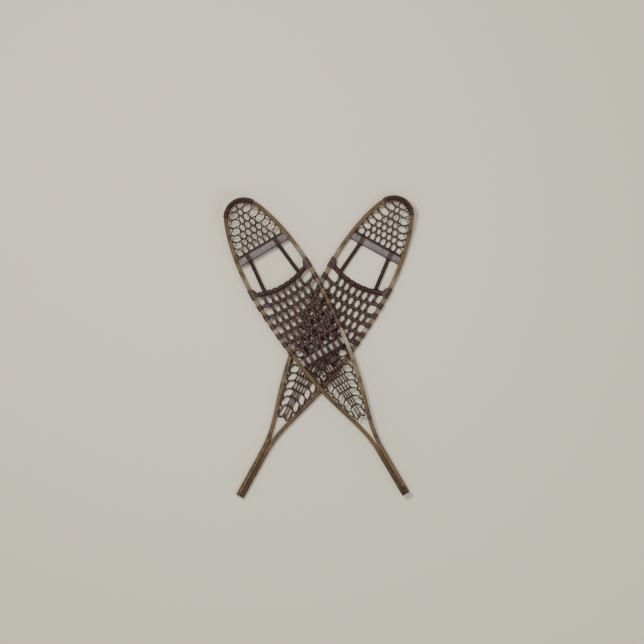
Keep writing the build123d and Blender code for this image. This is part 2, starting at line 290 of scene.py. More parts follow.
def weathered_ash():
    """Ash boards, flat sawn, with the oil worn off: silver grey, with raised grain."""
    made, tree, shader = material("weathered_ash")
    # figure about 4 mm wide, with 0.4 mm pores
    _, relief, colour = ash_figure(
        tree, (9, 240), (90, 2400), 0.8, uneven(tree, 30.0),
        [(0.3, "#463B3E"), (0.5, "#625759"), (0.7, "#7C7275")],
        [(0.36, "#6B5E62"), (0.5, "#FFFFFF")], 0.6,
        [(0.35, "#A8978F"), (0.5, "#FFFFFF"), (0.7, "#E6E2E6")],
    )
    silver = coloured_where(tree, "bleach_and_highlight", "#969283", colour)
    # dark where painted shade lies along the board's arrises
    tree.links.new(coloured_where(tree, "stain_and_shade", "#2E2220", silver), shader.inputs["Base Color"])
    shader.inputs["Roughness"].default_value = 0.62
    roughened(tree, shader, relief, 0.5, 0.0005)
    return made


def varnished_rawhide(name, dark, mid, light, fibre):
    """Babiche: strips cut from rawhide, stretched wet and varnished, so a hard dark skin with fibres along it."""
    made, tree, shader = material(name)
    along = node(tree, "ShaderNodeAttribute", attribute_name="along").outputs["Fac"]
    around = node(tree, "ShaderNodeAttribute", attribute_name="around").outputs["Vector"]
    tint = node(tree, "ShaderNodeAttribute", attribute_name="tint").outputs["Fac"]
    # fibres lie along the strand: 60 lengths of noise to a metre along it, against two widths round it
    length = maths(tree, "MULTIPLY", along, 60.0)
    split = node(tree, "ShaderNodeSeparateXYZ", {0: around}).outputs
    fibres_at = node(tree, "ShaderNodeCombineXYZ", {0: length, 1: split[0], 2: split[1]}).outputs[0]
    noise = {"Vector": fibres_at, "Scale": fibre, "Detail": 3.0, "Roughness": 0.6}
    fibres = node(tree, "ShaderNodeTexNoise", noise).outputs["Fac"]
    tone = uneven(tree, 70.0, 0.65)
    mixed = maths(tree, "ADD", fibres, tone)
    shade = maths(tree, "ADD", mixed, tint)
    half = maths(tree, "MULTIPLY", shade, 0.5)
    colour = node(tree, "ShaderNodeValToRGB", {"Fac": half}, stops=[(0.32, dark), (0.5, mid), (0.72, light)])
    tree.links.new(colour.outputs["Color"], shader.inputs["Base Color"])
    gloss = node(tree, "ShaderNodeMapRange", {"Value": tone, "To Min": 0.32, "To Max": 0.62})
    tree.links.new(gloss.outputs[0], shader.inputs["Roughness"])
    shader.inputs["Specular IOR Level"].default_value = 0.35
    shader.inputs["Coat Weight"].default_value = 0.06
    shader.inputs["Coat Roughness"].default_value = 0.3
    roughened(tree, shader, mixed, 0.4, 0.0006)
    return made


def old_copper():
    """Copper rivets, hammered and gone brown: dull in patches 2 mm wide, with brighter metal between them."""
    made, tree, shader = material("old_copper")
    stain = uneven(tree, 420.0)
    colour = node(
        tree, "ShaderNodeValToRGB", {"Fac": stain}, stops=[(0.35, "#4A3226"), (0.55, "#8A5A3E"), (0.75, "#B87A56")]
    )
    tree.links.new(colour.outputs["Color"], shader.inputs["Base Color"])
    shader.inputs["Metallic"].default_value = 1.0
    shader.inputs["Roughness"].default_value = 0.42
    roughened(tree, shader, stain, 0.3, 0.0003)
    return made


ASH = steam_bent_ash()
BOARD = weathered_ash()
LACING = varnished_rawhide("babiche_lacing", "#1A090A", "#321514", "#4C2A22", 1.6)
CORDAGE = varnished_rawhide("twisted_rawhide_cord", "#17080A", "#2D1213", "#4A2824", 2.2)
COPPER = old_copper()


# ---- meshes ----


def mesh_object(name, vertices, faces, made, uvs, attributes):
    """A mesh at the origin, with a UV map of one pair for each face corner and point attributes."""
    mesh = bpy.data.meshes.new(name)
    mesh.from_pydata([tuple(v) for v in vertices], [], faces)
    mesh.uv_layers.new(name="grain").data.foreach_set("uv", np.array(uvs, "f").ravel())
    for key, values in attributes.items():
        mesh.attributes.new(key, "FLOAT", "POINT").data.foreach_set("value", np.array(values, "f"))
    mesh.polygons.foreach_set("use_smooth", [True] * len(mesh.polygons))
    mesh.materials.append(made)
    mesh.update()
    item = bpy.data.objects.new(name, mesh)
    bpy.context.scene.collection.objects.link(item)
    return item


def rounded_section(width, height, rounding, per_corner=4, per_flat=1):
    """Points round a rectangle with rounded corners, as (across, up) from its middle, and how far round each is."""
    points = []
    for corner, (sx, sy) in enumerate(((1, -1), (1, 1), (-1, 1), (-1, -1))):
        for i in range(per_corner):
            angle = math.radians(-90 + 90 * corner + 90 * i / (per_corner - 1))
            points.append(
                (
                    sx * (width / 2 - rounding) + rounding * math.cos(angle),
                    sy * (height / 2 - rounding) + rounding * math.sin(angle),
                )
            )
    split = []
    for i, (a, b) in enumerate(zip(points, points[1:] + points[:1])):
        pieces = per_flat if i % per_corner == per_corner - 1 else 1
        split += [np.array(a) + (np.array(b) - np.array(a)) * t / pieces for t in range(pieces)]
    points = np.array(split)
    steps = np.linalg.norm(np.roll(points, -1, axis=0) - points, axis=1)
    return points, np.concatenate([[0], np.cumsum(steps)])


def swept(name, shoe, centres, sideways, lengths, section, round_by, made, attributes):
    """A strip with one section carried along flat centres, closed at both ends, with grain running along it."""
    count, around = len(centres), len(section)
    points = np.zeros((count, around, 3))
    points[..., :2] = centres[:, None, :2] + sideways[:, None, :] * section[None, :, :1]
    points[..., 2] = centres[:, None, 2] + section[None, :, 1]
    vertices = shoe.place(points.reshape(-1, 3))
    faces, uvs = [], []
    for i in range(count - 1):
        for j in range(around):
            k = (j + 1) % around
            faces.append((i * around + j, i * around + k, (i + 1) * around + k, (i + 1) * around + j))
            uvs += [
                (lengths[i], round_by[j]),
                (lengths[i], round_by[j + 1]),
                (lengths[i + 1], round_by[j + 1]),
                (lengths[i + 1], round_by[j]),
            ]
    for start, order in ((0, range(around - 1, -1, -1)), ((count - 1) * around, range(around))):
        faces.append(tuple(start + j for j in order))
        uvs += [tuple(section[j] * (8, 1)) for j in order]
    values = {}
    for key, value in attributes.items():
        value = np.array(value)
        values[key] = np.broadcast_to(value if value.ndim == 2 else value[:, None], (count, around)).ravel()
    return mesh_object(name, vertices, faces, made, uvs, values)


def face_out(item):
    """Turns a closed mesh's faces outwards."""
    bpy.context.view_layer.objects.active = item
    item.select_set(True)
    bpy.ops.object.mode_set(mode="EDIT")
    bpy.ops.mesh.select_all(action="SELECT")
    bpy.ops.mesh.normals_make_consistent(inside=False)
    bpy.ops.object.mode_set(mode="OBJECT")
    item.select_set(False)


# ---- strands: lines of points swept by a Geometry Nodes tree ----

PLY_SIDES = 10


class Strands:
    """Lines of points, each with the way that its flat side faces, for one piece."""

    def __init__(self, shoe, seed):
        self.shoe = shoe
        self.random = np.random.default_rng(seed)
        self.points, self.facing, self.edges, self.tints, self.widths = [], [], [], [], []

    def add(self, line, facing=(0, 0, 1), closed=False, width=1.0, wobble=0.0):
        """Adds a line of flat (x, station, height) points."""
        line = np.array(line, float)
        facing = np.broadcast_to(np.array(facing, float), line.shape)
        if wobble:
            line = line + self.random.normal(0, wobble, line.shape) * (1, 1, 0.3)
        start = len(self.points)
        self.points += list(self.shoe.place(line))
        self.facing += list(self.shoe.turn(facing))
        self.tints += [self.random.normal(0, 0.10)] * len(line)
        self.widths += list(np.broadcast_to(width, len(line)))
        self.edges += [(start + i, start + i + 1) for i in range(len(line) - 1)]
        if closed:
            self.edges.append((start + len(line) - 1, start))


def sized_tree(name, sizes, counts):
    """A tree that takes lines, named sizes and counts, and a material, with what it is given."""
    tree = bpy.data.node_groups.new(name, "GeometryNodeTree")
    tree.interface.new_socket("Lines", in_out="INPUT", socket_type="NodeSocketGeometry")
    for kind, values in (("NodeSocketFloat", sizes), ("NodeSocketInt", counts)):
        for key, value in values.items():
            tree.interface.new_socket(key, in_out="INPUT", socket_type=kind).default_value = value
    tree.interface.new_socket("Material", in_out="INPUT", socket_type="NodeSocketMaterial")
    tree.interface.new_socket("Mesh", in_out="OUTPUT", socket_type="NodeSocketGeometry")
    return tree, node(tree, "NodeGroupInput").outputs


def spaced_curves(tree, given):
    """The lines as curves with even points, turned the way that their flat sides face."""
    lines = node(tree, "GeometryNodeMeshToCurve", {"Mesh": given["Lines"]}).outputs[0]
    spaced = node(tree, "GeometryNodeResampleCurve", {"Curve": lines, "Length": given["Spacing"]}, mode="LENGTH")
    facing = node(tree, "GeometryNodeInputNamedAttribute", {"Name": "facing"}, data_type="FLOAT_VECTOR")
    turned = {"Curve": spaced.outputs[0], "Normal": facing.outputs["Attribute"]}
    return node(tree, "GeometryNodeSetCurveNormal", turned, mode="FREE").outputs[0]


def ring_section(tree, sides):
    """A round section one metre in radius, whose points tell where they are round it."""
    ring = node(tree, "GeometryNodeCurvePrimitiveCircle", {"Resolution": sides, "Radius": 1.0}, mode="RADIUS")
    place = node(tree, "GeometryNodeInputPosition").outputs[0]
    told = {"Geometry": ring.outputs[0], "Name": "around", "Value": place}
    return node(tree, "GeometryNodeStoreNamedAttribute", told, data_type="FLOAT_VECTOR", domain="POINT").outputs[0]


def sweep_out(tree, curves, section, scale, given):
    """Sweeps a section along the curves, which tell how far along they are, and ends the tree with a smooth mesh."""
    along = node(tree, "GeometryNodeSplineParameter").outputs["Length"]
    told = {"Geometry": curves, "Name": "along", "Value": along}
    told = node(tree, "GeometryNodeStoreNamedAttribute", told, data_type="FLOAT", domain="POINT").outputs[0]
    parts = {"Curve": told, "Profile Curve": section, "Scale": scale, "Fill Caps": True}
    mesh = node(tree, "GeometryNodeCurveToMesh", parts).outputs[0]
    rounded = node(tree, "GeometryNodeSetShadeSmooth", {"Geometry": mesh}).outputs[0]
    real = node(tree, "GeometryNodeRealizeInstances", {"Geometry": rounded}).outputs[0]
    dressed = node(tree, "GeometryNodeSetMaterial", {"Geometry": real, "Material": given["Material"]}).outputs[0]
    node(tree, "NodeGroupOutput", {0: dressed})
    return tree


def strand_tree():
    """Sweeps a flattened round section along each line, with small uneven places in its width."""
    sizes = {"Width": 0.0034, "Thickness": 0.0022, "Spacing": 0.003, "Unevenness": 0.1}
    tree, given = sized_tree("babiche_strands", sizes, {"Sides": 8, "Seed": 1})
    curves = spaced_curves(tree, given)
    # the uneven width: noise 25 mm long, moved by the seed
    place = node(tree, "GeometryNodeInputPosition").outputs[0]
    shifted = node(tree, "ShaderNodeVectorMath", {0: place, 1: given["Seed"]}, operation="ADD").outputs[0]
    noise = node(tree, "ShaderNodeTexNoise", {"Vector": shifted, "Scale": 40.0, "Detail": 1.0}).outputs["Fac"]
    centred = maths(tree, "SUBTRACT", noise, 0.5)
    swing = maths(tree, "MULTIPLY", centred, given["Unevenness"])
    widen = maths(tree, "ADD", swing, 1.0)
    own = node(tree, "GeometryNodeInputNamedAttribute", {"Name": "wide"}, data_type="FLOAT").outputs["Attribute"]
    size = maths(tree, "MULTIPLY", widen, own)
    curves = node(tree, "GeometryNodeSetCurveRadius", {"Curve": curves, "Radius": size}).outputs[0]
    half_width = maths(tree, "MULTIPLY", given["Width"], 0.5)
    half_thick = maths(tree, "MULTIPLY", given["Thickness"], 0.5)
    scale = node(tree, "ShaderNodeCombineXYZ", {0: half_thick, 1: half_width, 2: 1.0}).outputs[0]
    ring = ring_section(tree, given["Sides"])
    section = node(tree, "GeometryNodeTransform", {"Geometry": ring, "Scale": scale}).outputs[0]
    return sweep_out(tree, curves, section, node(tree, "GeometryNodeInputRadius").outputs[0], given)


def cord_tree():
    """Lays a few plies round each line, twisted to a cord."""
    sizes = {"Cord Radius": 0.006, "Lay Length": 0.045, "Spacing": 0.0025, "Fullness": 1.1}
    tree, given = sized_tree("twisted_cord", sizes, {"Plies": 3})
    copies = {"Geometry": spaced_curves(tree, given), "Amount": given["Plies"]}
    plies = node(tree, "GeometryNodeDuplicateElements", copies, domain="SPLINE").outputs
    # each ply circles the line once in a lay length, an even share of a turn from the next
    along = node(tree, "GeometryNodeSplineParameter").outputs["Length"]
    laps = maths(tree, "DIVIDE", along, given["Lay Length"])
    share = maths(tree, "DIVIDE", plies["Duplicate Index"], given["Plies"])
    turns = maths(tree, "ADD", laps, share)
    angle = maths(tree, "MULTIPLY", turns, math.tau)
    normal = node(tree, "GeometryNodeInputNormal").outputs[0]
    tangent = node(tree, "GeometryNodeInputTangent").outputs[0]
    side = node(tree, "ShaderNodeVectorMath", {0: tangent, 1: normal}, operation="CROSS_PRODUCT").outputs[0]
    out = []
    for way, part in ((normal, "COSINE"), (side, "SINE")):
        amount = maths(tree, part, angle)
        out.append(node(tree, "ShaderNodeVectorMath", {0: way, "Scale": amount}, operation="SCALE").outputs[0])
    outward = node(tree, "ShaderNodeVectorMath", {0: out[0], 1: out[1]}, operation="ADD").outputs[0]
    reach = maths(tree, "MULTIPLY", given["Cord Radius"], 0.5)
    offset = node(tree, "ShaderNodeVectorMath", {0: outward, "Scale": reach}, operation="SCALE").outputs[0]
    laid = node(tree, "GeometryNodeSetPosition", {"Geometry": plies[0], "Offset": offset}).outputs[0]
    ply = maths(tree, "MULTIPLY", reach, given["Fullness"])
    return sweep_out(tree, laid, ring_section(tree, PLY_SIDES), ply, given)


STRAND_TREE = strand_tree()
CORD_TREE = cord_tree()


def run_tree(name, strands, tree, **inputs):
    """The plain mesh that a tree makes from a piece's lines."""
    mesh = bpy.data.meshes.new(name + "_lines")
    mesh.from_pydata([tuple(p) for p in strands.points], strands.edges, [])
    for key, kind, values in (
        ("facing", "FLOAT_VECTOR", strands.facing),
        ("tint", "FLOAT", strands.tints),
        ("wide", "FLOAT", strands.widths),
    ):
        layer = mesh.attributes.new(key, kind, "POINT").data
        layer.foreach_set("vector" if kind == "FLOAT_VECTOR" else "value", np.array(values, "f").ravel())
    source = bpy.data.objects.new(name + "_source", mesh)
    bpy.context.scene.collection.objects.link(source)
    modifier = source.modifiers.new("lay", "NODES")
    modifier.node_group = tree
    sockets = {s.name: s.identifier for s in tree.interface.items_tree if s.in_out == "INPUT"}
    for key, value in inputs.items():
        modifier[sockets[key.replace("_", " ")]] = value
    graph = bpy.context.evaluated_depsgraph_get()
    result = bpy.data.meshes.new_from_object(
        source.evaluated_get(graph), preserve_all_data_layers=True, depsgraph=graph
    )
    result.name = name
    bpy.data.objects.remove(source)
    bpy.data.meshes.remove(mesh)
    item = bpy.data.objects.new(name, result)
    bpy.context.scene.collection.objects.link(item)
    return item


def finish_piece(item, shoe, nodes):
    """Puts a piece on its shoe's body in place of its CAD nodes."""
    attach(item, shoe.body)
    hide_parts(*[f"{shoe.name}_{name}" for name in nodes])


def lay_piece(shoe, name, strands, replaced, slot, tree=STRAND_TREE, made=LACING, **sizes):
    """Makes a piece from its strands, in place of one CAD node."""
    item = run_tree(f"{shoe.name}_{name}", strands, tree, Material=made, **sizes)
    finish_piece(item, shoe, [replaced])


# ---- wood ----


def strip_line():
    """The middle of the bent strip from one tail end, round the toe, to the other, with its sideways directions."""
    right = inset_line(RAIL_WIDTH / 2)[::3]
    inward = INWARD[::3]
    tail_steps = np.linspace(0, 1, 24)[1:, None]
    tail_end = np.array([[right[-1, 0], LENGTH]])
    tail = right[-1] + (tail_end - right[-1]) * tail_steps
    right = np.vstack([right, tail])
    inward = np.vstack([inward, np.repeat([[-1.0, 0.0]], len(tail), axis=0)])
    left = right[:0:-1] * (-1, 1)
    left_in = inward[:0:-1] * (-1, 1)
    return np.vstack([left, right]), np.vstack([left_in, inward])


def bump_at(value, centre, reach):
    """One at a centre, and nothing well beyond its reach."""
    return np.exp(-(((value - centre) / reach) ** 2))


def bent_frame(shoe):
    """The bent strip, worn and weathered pale where the two shoes are, with darker patches, painted shade and painted
    highlights.
    """
    line, inward = strip_line()
    random = np.random.default_rng(11 if shoe.name == "upper" else 12)
    steps = np.linalg.norm(np.diff(line, axis=0), axis=1)
    # the two strips are cut from different places in the wood
    lengths = np.concatenate([[0], np.cumsum(steps)]) + (3.0 if shoe.name == "upper" else 7.0)
    centres = np.column_stack([line, np.full(len(line), MIDDLE)])
    section, round_by = rounded_section(RAIL_WIDTH, RAIL_HEIGHT, 0.0035, per_flat=5)
    station, side = line[:, 1], np.sign(line[:, 0]) * shoe.hand
    # the finish has gone ahead of the cord lashings, between the wraps and beside the rear crossbar
    worn = 0.35 * bump_at(station, 0.27, 0.04) + 0.28 * ((station > 0.34) & (station < 0.59))
    worn += 0.30 * bump_at(station, 0.39, 0.05) + 0.7 * bump_at(station, 0.625, 0.05) * (side > 0)
    worn += 0.55 * bump_at(station, 0.75, 0.09) * (side > 0)
    worn = np.clip(worn + random.normal(0, 0.04, len(worn)), 0, 1.3)
    # pale weathering and painted highlights: a strip beside the rear crossbar, a patch ahead of the cord lashings, and
    # two spots on the other side among the wraps
    bleach_and_highlight = 0.36 * bump_at(station, 0.628, 0.045) * (side > 0) + 0.22 * bump_at(station, 0.275, 0.025)
    bleach_and_highlight += 0.5 * (bump_at(station, 0.482, 0.008) + 0.5 * bump_at(station, 0.525, 0.008)) * (side < 0)
    bleach_and_highlight = np.clip(bleach_and_highlight * (1 + random.normal(0, 0.30, len(worn))), 0, 0.95)
    # painted shade: one half of the tail is much darker than the other. The rail is also darker on that side behind
    # the rear crossbar, on the other side among the wraps, near the toe, just ahead of the last wraps and at the
    # tail's end
    stain_and_shade = 0.62 * (1 / (1 + np.exp(-(station - 1.035) / 0.012))) * (side < 0)
    stain_and_shade += 0.32 * bump_at(station, 0.78, 0.16) * (side < 0) + 0.30 * bump_at(station, 0.51, 0.045) * (side > 0)
    stain_and_shade += 0.12 * bump_at(station, 0.03, 0.10) + 0.25 * bump_at(station, 0.565, 0.02)
    stain_and_shade += 0.12 * bump_at(station, LENGTH, 0.03)
    # painted shade along both sides of the rail's section, darkest at the arrises
    arris = np.clip((np.abs(section[:, 0]) / (RAIL_WIDTH / 2) - 0.72) / 0.28, 0, 1) * 0.18
    stain_and_shade = np.clip(stain_and_shade[:, None] + arris[None, :], 0, 0.9)
    # ragged painted highlight and pale weathering, brightest on the rail's crown and fading off it
    crown = np.clip(1.25 - 0.75 * np.abs(section[:, 0]) / (RAIL_WIDTH / 2), 0, 1)
    bleach_and_highlight = bleach_and_highlight[:, None] * crown[None, :]
    item = swept(
        f"{shoe.name}_bent_strip", shoe, centres, inward, lengths, section, round_by, ASH,
        {"worn": worn, "bleach_and_highlight": bleach_and_highlight, "stain_and_shade": stain_and_shade},
    )
    face_out(item)
    finish_piece(item, shoe, ["bent_frame"])


def crossbar(shoe, name, station, seed, silver):
    """A board let into both rails, with painted shade at its arrises and the colour of driftwood along its middle."""
    random = np.random.default_rng(seed)
    half = room(station) + MORTISE * 0.9
    x = np.linspace(-half, half, 90)
    wander = np.interp(x, np.linspace(-half, half, 9), random.normal(0, 0.0004, 9))
    centres = np.column_stack([x, station + wander, np.full(len(x), MIDDLE)])
    sideways = np.repeat([[0.0, 1.0]], len(x), axis=0)
    section, round_by = rounded_section(BAR_WIDTH - 0.0006, BAR_THICKNESS - 0.0004, 0.0038, per_corner=5, per_flat=8)
    off_middle = np.abs(section[:, 0]) / (BAR_WIDTH / 2)
    # painted shade: dark towards the board's long edges
    stain_and_shade = np.clip((off_middle - 0.60) / 0.20, 0, 1)[None, :] * np.full((len(x), 1), 0.95)
    patches = np.interp(x, np.linspace(-half, half, 26), random.uniform(0.3, 1.0, 26))
    bleach_and_highlight = silver * patches[:, None] * np.clip(1.3 - off_middle, 0, 1)[None, :]
    item = swept(
        f"{shoe.name}_{name}_board", shoe, centres, sideways, x + seed, section, round_by, BOARD,
        {"stain_and_shade": stain_and_shade, "bleach_and_highlight": bleach_and_highlight},
    )
    face_out(item)
    finish_piece(item, shoe, [name])


# ---- nets ----


def eased(points, spacing=0.004):
    """A smooth line through points, with close points."""
    p = np.array(points, float)
    if len(p) < 3:
        steps = max(2, int(np.linalg.norm(p[-1] - p[0]) / spacing) + 1)
        return p[0] + (p[-1] - p[0]) * np.linspace(0, 1, steps)[:, None]
    chords = np.linalg.norm(np.diff(p, axis=0), axis=1)
    start, end = (p[1] - p[0]) / chords[0], (p[-1] - p[-2]) / chords[-1]
    return smooth(p, start, end, max(3, int(chords.mean() / spacing)))


def nearest(values, x, side):
    """The place in values of the nearest one on one side of x, or None."""
    offsets = [(side * (v - x), i) for i, v in enumerate(values) if side * (v - x) > 1e-5]
    return min(offsets)[1] if offsets else None


def weave(strands, rows, bands, border, over, wobble, upright, straight, drop, turned=False):
    """Laces a three-way weave of rounded cells.

    rows gives each row's station at an x, bands the crossings' x in the middle of each band, and border how far
    out a row reaches. Two strands cross between two cells, run almost upright there, and lie along a row to the
    next crossing. Strands that lean right pass over those that lean left and under the rows. over is how far they
    pass above or below each other, and wobble how uneven the crossings are. Near a crossing a strand moves across
    by upright while it runs back by straight, a share of the band's depth. drop is how far it slants over a row.
    With turned, a band's outermost crossings are where a strand turns back round the thong.
    """
    random = strands.random
    middles = []
    for j, xs in enumerate(bands):
        points = []
        for x in xs:
            s = (rows[j](x) + rows[j + 1](x)) / 2
            points.append((x + random.normal(0, wobble), s + random.normal(0, wobble)))
        middles.append(points)
    row_points = [[] for _ in rows]

    def past_crossing(j, k, lean):
        x, s = middles[j][k]
        reach = (rows[j + 1](x) - rows[j](x)) * straight
        return [
            [x - lean * upright, s - reach, 0.6 * over * lean],
            [x, s, over * lean],
            [x + lean * upright, s + reach, 0.3 * over * lean],
        ]

    def end(j, x, lean):
        edge = border(rows[j](x))
        to_x = float(np.clip(x, -edge, edge))
        row_points[j].append((to_x, over * lean))
        return [to_x, rows[j](to_x), -over * lean]

    def lead(j, x):
        return (rows[j + 1](x) - rows[j](x)) * 0.10

    def turns_back(j, k, lean):
        return turned and k == (0 if lean < 0 else len(bands[j]) - 1)

    for lean in (1, -1):
        starts = [(0, k) for k in range(len(bands[0]))]
        for j in range(1, len(bands)):
            starts += [(j, k) for k, x in enumerate(bands[j]) if nearest(bands[j - 1], x, -lean) is None]
        for j, k in starts:
            if turns_back(j, k, lean):
                continue
            x, s = middles[j][k]
            if turns_back(j, k, -lean):
                line = [[x - lean * 0.0012, s - 0.0010, 0.0], [x + lean * 0.0004, s + 0.0012, 0.5 * over * lean]]
            else:
                line = [end(j, x - lean * lead(j, x) if j == 0 else -lean * border(rows[j](x)), lean)]
                line += past_crossing(j, k, lean)
            while True:
                x = middles[j][k][0]
                if j + 1 == len(bands):
                    line.append(end(j + 1, x + lean * lead(j, x), lean))
                    break
                target = nearest(bands[j + 1], x, lean)
                if target is None:
                    line.append(end(j + 1, lean * border(rows[j + 1](x)), lean))
                    break
                across = middles[j + 1][target][0] - x
                shares = ((0.30, -1), (0.70, 1)) if drop else ((0.5, 0),)
                for share, way in shares:
                    at = x + across * share
                    line.append([at, rows[j + 1](at) + drop * way, -over * lean])
                row_points[j + 1].append((x + across / 2, over * lean))
                j, k = j + 1, target
                if turns_back(j, k, lean):
                    x, s = middles[j][k]
                    line += [[x, s - 0.0010, 0.5 * over * lean], [x + lean * 0.0012, s + 0.0010, 0.0]]
                    break
                line += past_crossing(j, k, lean)
            path = np.array(line)
            path[:, 2] += MIDDLE
            strands.add(eased(path, 0.003))
    return row_points


def lay_rows(strands, rows, row_points, border, doubled, width=1.0):
    """Lays the rows from rail to rail, over and under what they cross, each one strand or a pair twined."""
    for row, marks in zip(rows, row_points):
        edge = border(row(border(row(0.0))))
        for twin in (1, -1) if doubled else (1,):
            points = [(-edge, row(-edge), MIDDLE)]
            last = -edge
            for n, (x, height) in enumerate(sorted(marks)):
                if x - last > 0.003 and edge - x > 0.003:
                    beside = twin * 0.0009 * doubled * (-1) ** n
                    points.append((x, row(x) + beside, MIDDLE + height * twin))
                    last = x
            points.append((edge, row(edge), MIDDLE))
            line = eased(points, 0.003)
            knotted = 0.55 * doubled * np.exp(-((line[:, 0] / 0.034) ** 2))
            strands.add(line, width=width + knotted, wobble=0.00012)


def curved_row(station, sag=0.0, half=1.0):
    """A row that curves forwards by sag at half the net's width from the middle."""
    return lambda x: station - sag * (x / half) ** 2


def slanted_row(station, slope, flat):
    """A row that is level in the middle, and slopes back to the rails beyond."""
    return lambda x: station + slope * max(0.0, abs(x) - flat)


def row_ends(rows):
    """The stations where rows meet the rails."""
    return [row(room(row(0.0))) for row in rows]


def scalloped(rows, depth, held_from):
    """The inset of a thong that is held at the rail between rows, and drawn inwards at each but the last."""
    ends = row_ends(rows)

    def inset(station):
        place = np.interp(station, ends, range(len(ends)))
        drawn = depth * (0.5 + 0.5 * np.cos(math.tau * place)) * np.clip((ends[-1] - station) / 0.014, 0, 1)
        free = np.clip((station - held_from) / 0.02, 0, 1)
        return RAIL_WIDTH + THONG_LIFT + (WRAP + CLEARANCE) * (1 - free) + drawn * free

    return inset


def border_of(inset):
    """How far out a row reaches at a station, for an inset that changes with the station."""
    inner = inset_line(RAIL_WIDTH)
    order = np.argsort(inner[:, 1])

    def border(station):
        x = np.interp(station, inner[order, 1], inner[order, 0])
        square = np.interp(station, inner[order, 1], np.abs(INWARD[order, 0]))
        return float(x - (inset(station) - RAIL_WIDTH) / max(square, 0.35))

    return border


def band_of(count, pitch, middle, edge, margin):
    """Evenly pitched crossings that keep a margin from the border."""
    xs = [middle + (i - (count - 1) / 2) * pitch for i in range(count)]
    return [x for x in xs if abs(x) < edge - margin]


TOE_STATIONS = (0.0193, 0.0367, 0.0599, 0.0866, 0.1116, 0.1354, 0.1586, FRONT_BAR - BAR_WIDTH / 2 - 0.001)
TOE_PITCHES = (0.020, 0.0175, 0.0208, 0.0212, 0.0222, 0.0210, 0.0212)
# the tail net's rows: station, slope of its sides, and how far out it is level
TAIL_ROWS = (
    (REAR_BAR + BAR_WIDTH / 2 + 0.002, 0.0, 0.0),
    (0.6772, 0.08, 0.030),
    (0.7057, 0.22, 0.032),
    (0.7342, 0.34, 0.032),
    (0.7609, 0.46, 0.026),
    (0.7894, 0.52, 0.019),
    (0.8180, 0.55, 0.014),
    (0.8505, 0.65, 0.008),
    (0.8950, 0.55, 0.001),
)
# how far the rows draw the thong in from the rails
TOE_SCALLOP, TAIL_SCALLOP = 0.0100, 0.0098
# how far strands pass above or below each other
FINE_OVER, HEAVY_OVER = 0.0015, 0.0017


def toe_rows():
    return [curved_row(s) for s in TOE_STATIONS]


def tail_rows():
    return [slanted_row(*row) for row in TAIL_ROWS]


def toe_net(shoe):
    """The fine net ahead of the front crossbar: small round cells in the middle, large ones beside the rails."""
    strands = Strands(shoe, seed=21)
    rows = toe_rows()
    border = border_of(scalloped(rows, TOE_SCALLOP, 0.038))
    bands = []
    for j, pitch in enumerate(TOE_PITCHES):
        edge = border((TOE_STATIONS[j] + TOE_STATIONS[j + 1]) / 2)
        bands.append([-edge] + band_of(j + 1, pitch, -shoe.hand * 0.001, edge, 0.010) + [edge])
    marks = weave(
        strands, rows, bands, border, FINE_OVER, wobble=0.0011, upright=0.0006, straight=0.10, drop=0.0, turned=True
    )
    # the last row lies along the crossbar
    lay_rows(strands, rows[1:], marks[1:], border, doubled=False)
    lay_piece(
        shoe, "toe_net", strands, "toe_lacing", "rawhide_lacing",
        Width=0.0047, Thickness=0.0030, Spacing=0.0026, Unevenness=0.6, Sides=7, Seed=3,
    )


def tail_net(shoe):
    """The fine net behind the rear crossbar: long narrow cells in the middle, large ones beside the rails."""
    strands = Strands(shoe, seed=31)
    rows = tail_rows()
    border = border_of(scalloped(rows, TAIL_SCALLOP, 0.0))
    bands = []
    for j in range(len(rows) - 1):
        middle = (rows[j](0.04) + rows[j + 1](0.04)) / 2
        edge = border(middle)
        pitch = 0.0112 if j < 5 else 0.0088
        bands.append([-edge] + band_of(max(2, 9 - j), pitch, -shoe.hand * 0.0015, edge, 0.009) + [edge])
    marks = weave(
        strands, rows, bands, border, FINE_OVER, wobble=0.0006, upright=0.0006, straight=0.18, drop=0.0010, turned=True
    )
    lay_rows(strands, rows[:-1], marks[:-1], border, doubled=True)
    lay_rows(strands, rows[-1:], marks[-1:], border, doubled=False)
    lay_piece(
        shoe, "tail_net", strands, "tail_lacing", "rawhide_lacing",
        Width=0.0040, Thickness=0.0028, Spacing=0.0026, Unevenness=0.6, Sides=7, Seed=5,
    )


def toe_cord_line():
    """The toe cord's middle, a shallow arc from rail to rail."""
    span = room(LASHING)
    half = span + 0.003
    radius = (span**2 + CORD_SAG**2) / (2 * CORD_SAG)
    x = np.linspace(-half, half, 60)
    s = CORD_MIDDLE - radius + np.sqrt(radius**2 - x**2)
    return np.column_stack([x, s, np.full(len(x), MIDDLE)])


def cord_station(x):
    """How far back the toe cord's middle is at an x."""
    cord = toe_cord_line()
    return float(np.interp(x, cord[:, 0], cord[:, 1]))


def cord_turn(strands, x, reach, width=1.0):
    """One turn round the toe cord at an x."""
    cord = toe_cord_line()
    i = int(np.argmin(np.abs(cord[:, 0] - x)))
    along = directions(cord[:, :2])[i]
    square = np.array([-along[1], along[0]])
    angles = np.linspace(0, math.tau, 14, endpoint=False)
    out = np.column_stack([np.cos(angles)[:, None] * square, np.sin(angles)])
    strands.add(np.array([x, cord_station(x), MIDDLE]) + out * reach, out, closed=True, width=width)


def foot_rows():
    """The foot net's rows: the first lies behind the toe cord, and the rest straighten out towards the crossbar."""
    first, last = CORD_MIDDLE + 0.0063, REAR_BAR - BAR_WIDTH / 2 - WRAP - CLEARANCE
    count = round((last - first) / 0.0374)
    half = room(LASHING)
    return [
        curved_row(first + (last - first) * i / count, 0.025 * (1 - i / count) ** 3, half) for i in range(count + 1)
    ]


